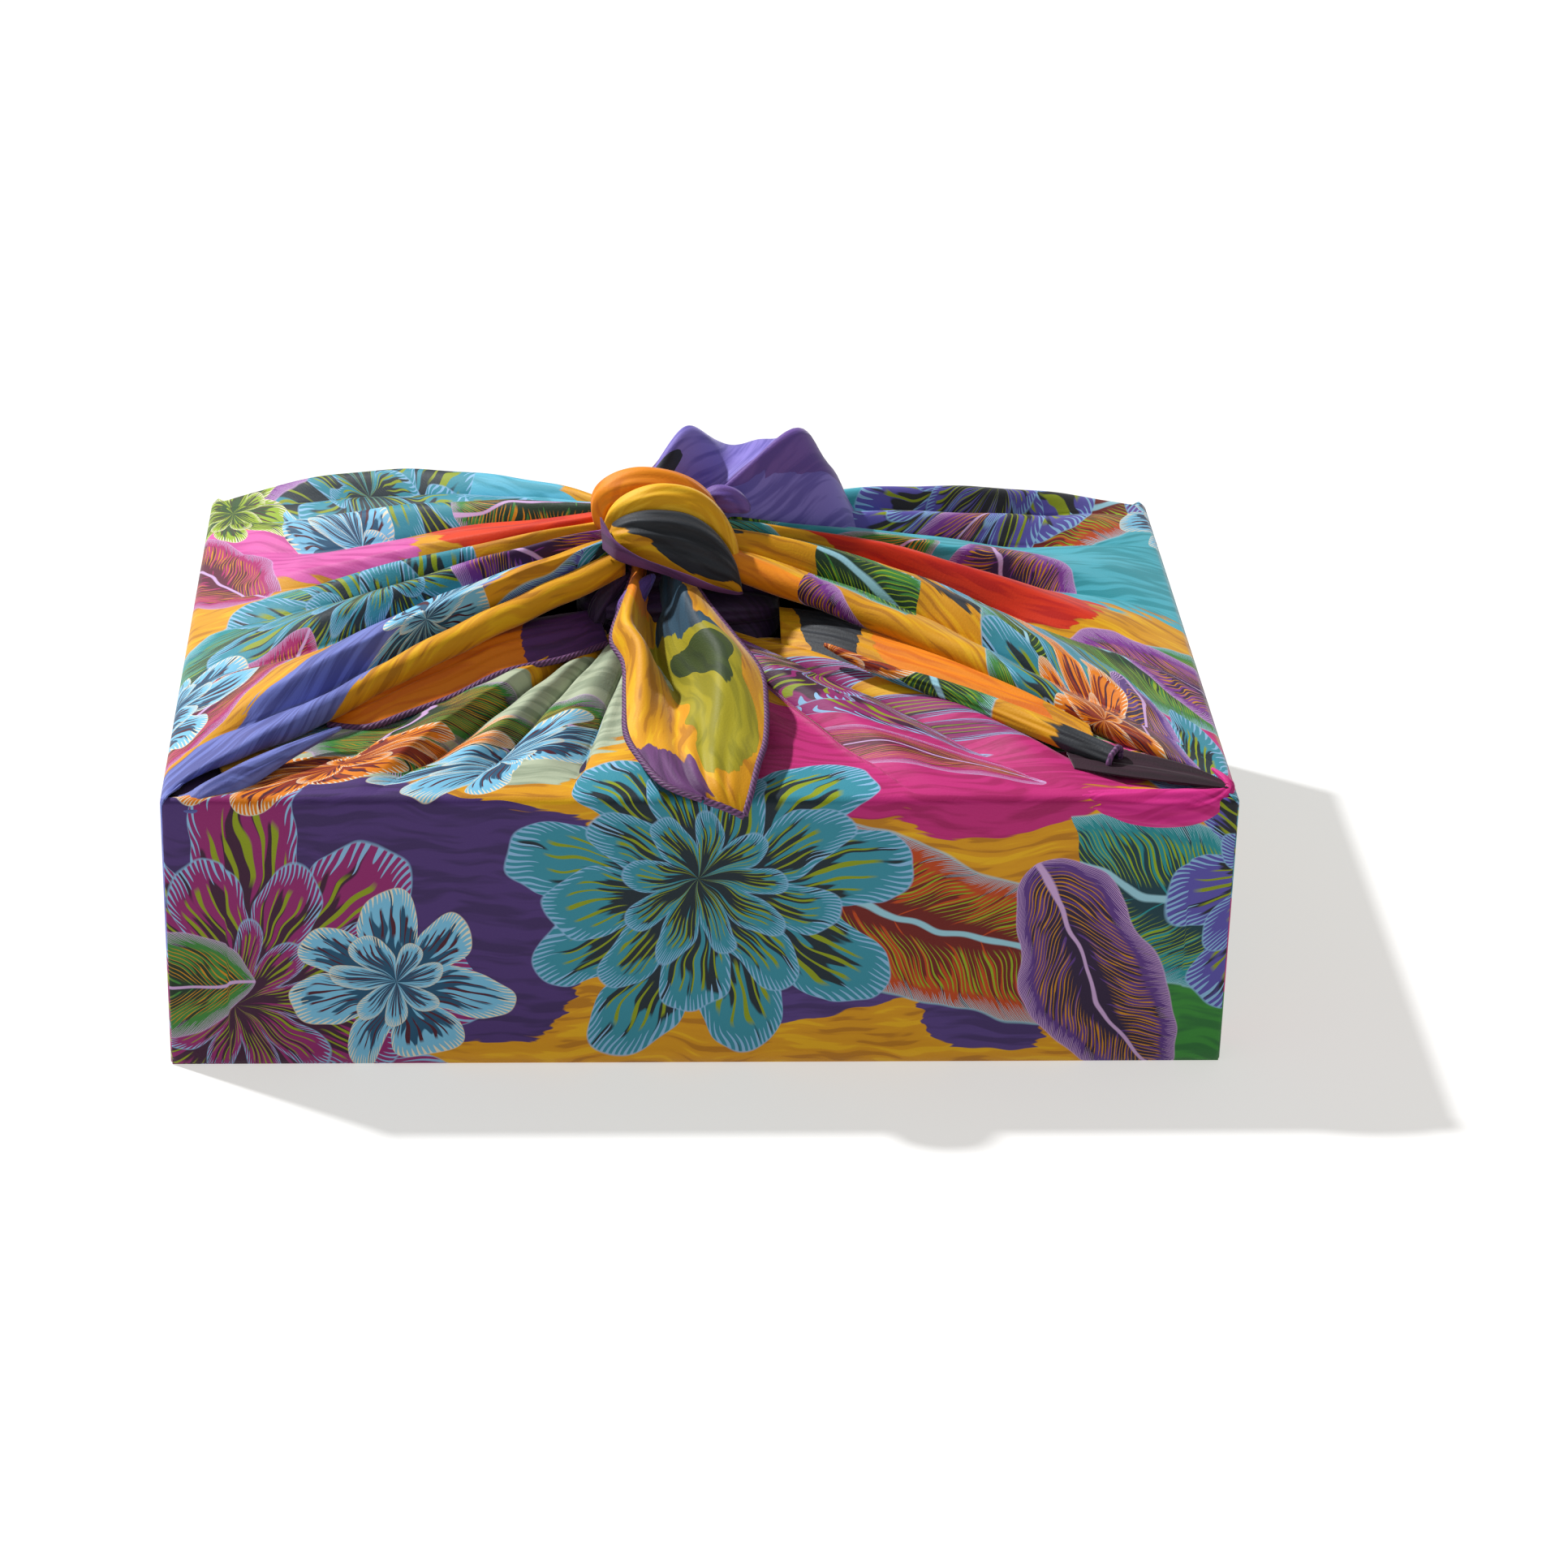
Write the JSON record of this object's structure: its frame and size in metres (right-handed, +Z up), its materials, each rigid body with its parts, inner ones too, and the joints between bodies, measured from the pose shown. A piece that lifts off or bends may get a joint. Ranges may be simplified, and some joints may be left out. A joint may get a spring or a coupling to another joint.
{
  "type": "furoshiki wrap on a gift box",
  "caption": "Printed cloth square tied over a low box, gathered into a knot on top with free tails falling to the front and back.",
  "frame": {"origin": "middle of the flat underside, on the surface that the wrap stands on", "axes": "+Z up, +X along the box's long side to the viewer's right, -Y the front, where the short free tail falls"},
  "size_m": [0.356, 0.2659, 0.1651],
  "materials": {
    "printed_cloth": "fine crepe weave with a soft sheen, printed all over",
    "white_board": "matte white paperboard"
  },
  "bodies": {
    "root": {"furoshiki": "printed_cloth", "gift_box": "white_board"}
  },
  "joints": []
}
